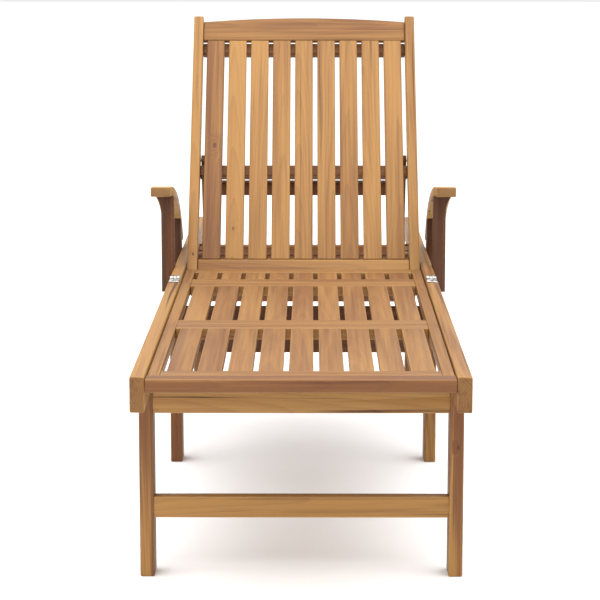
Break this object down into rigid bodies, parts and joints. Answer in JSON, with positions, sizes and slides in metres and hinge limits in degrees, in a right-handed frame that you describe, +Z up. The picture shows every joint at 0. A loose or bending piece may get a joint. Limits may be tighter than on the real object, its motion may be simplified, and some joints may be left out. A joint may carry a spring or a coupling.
{
  "type": "reclining sun lounger",
  "caption": "Hardwood sun lounger with armrests, slatted seat in two folding halves, folding front legs and a slatted back held by a prop in notched racks.",
  "frame": {"origin": "on the ground, in the middle of the overall length and width", "axes": "+X to the right seen from the foot end, +Y from the foot end to the head end, +Z up"},
  "size_m": [0.596, 1.9, 0.8427],
  "materials": {
    "teak_frame": "oiled teak, satin, straight grain with darker streaks",
    "teak_slats": "oiled teak slats, satin, varied honey to brown boards",
    "hinge_steel": "brushed stainless steel"
  },
  "bodies": {
    "rear_half": {"rear_rail_left": "teak_frame", "rear_rail_right": "teak_frame", "middle_leg_left": "teak_frame", "middle_leg_right": "teak_frame", "rear_leg_left": "teak_frame", "rear_leg_right": "teak_frame", "middle_cross_rail": "teak_frame", "rear_cross_rail": "teak_frame", "rear_stretcher": "teak_frame", "rear_seat_panel": "teak_slats", "arm_left": "teak_frame", "arm_right": "teak_frame", "front_post_left": "teak_frame", "front_post_right": "teak_frame", "rear_post_left": "teak_frame", "rear_post_right": "teak_frame", "rack_left": "teak_frame", "rack_right": "teak_frame", "fold_hinge_rear_leaf_left": "hinge_steel", "fold_hinge_rear_leaf_right": "hinge_steel"},
    "foot_half": {"front_rail_left": "teak_frame", "front_rail_right": "teak_frame", "nosing_rail": "teak_frame", "front_seat_panel": "teak_slats", "middle_seat_panel": "teak_slats", "fold_hinge_front_leaf_left": "hinge_steel", "fold_hinge_front_leaf_right": "hinge_steel", "leg_hinge_rail_leaf_left": "hinge_steel", "leg_hinge_rail_leaf_right": "hinge_steel"},
    "front_leg_frame": {"front_leg_left": "teak_frame", "front_leg_right": "teak_frame", "front_apron": "teak_frame", "front_stretcher": "teak_frame", "leg_hinge_leg_leaf_left": "hinge_steel", "leg_hinge_leg_leaf_right": "hinge_steel"},
    "backrest": {"back_stile_left": "teak_frame", "back_stile_right": "teak_frame", "back_top_rail": "teak_frame", "back_bottom_rail": "teak_frame", "back_slat_1": "teak_slats", "back_slat_2": "teak_slats", "back_slat_3": "teak_slats", "back_slat_4": "teak_slats", "back_slat_5": "teak_slats", "back_slat_6": "teak_slats", "back_slat_7": "teak_slats", "back_slat_8": "teak_slats", "back_slat_9": "teak_slats", "lower_batten": "teak_frame", "middle_batten": "teak_frame", "upper_batten": "teak_frame", "back_pivot_bolt_left": "hinge_steel", "back_pivot_bolt_right": "hinge_steel", "prop_bolt_left": "hinge_steel", "prop_bolt_right": "hinge_steel"},
    "prop": {"prop_arm_left": "teak_frame", "prop_arm_right": "teak_frame", "prop_cross_bar": "teak_frame", "prop_foot_bar": "teak_frame"}
  },
  "joints": [
    {"name": "foot_half_fold", "type": "hinge", "parent": "rear_half", "child": "foot_half", "pos_m": [0, -0.005, 0.3633], "axis": [1, 0, 0], "range_deg": [-130, 0]},
    {"name": "front_leg_fold", "type": "hinge", "parent": "foot_half", "child": "front_leg_frame", "pos_m": [0, -0.7257, 0.3017], "axis": [1, 0, 0], "range_deg": [0, 90]},
    {"name": "back_recline", "type": "hinge", "parent": "rear_half", "child": "backrest", "pos_m": [0, 0.1865, 0.3425], "axis": [1, 0, 0], "range_deg": [-49.5, 0]},
    {"name": "prop_swing", "type": "hinge", "parent": "backrest", "child": "prop", "pos_m": [0, 0.35149, 0.554], "axis": [1, 0, 0], "range_deg": [0, 112]}
  ],
  "couplings": [
    {"joint": "prop_swing", "follows": "back_recline", "ratio": -2.2584}
  ]
}
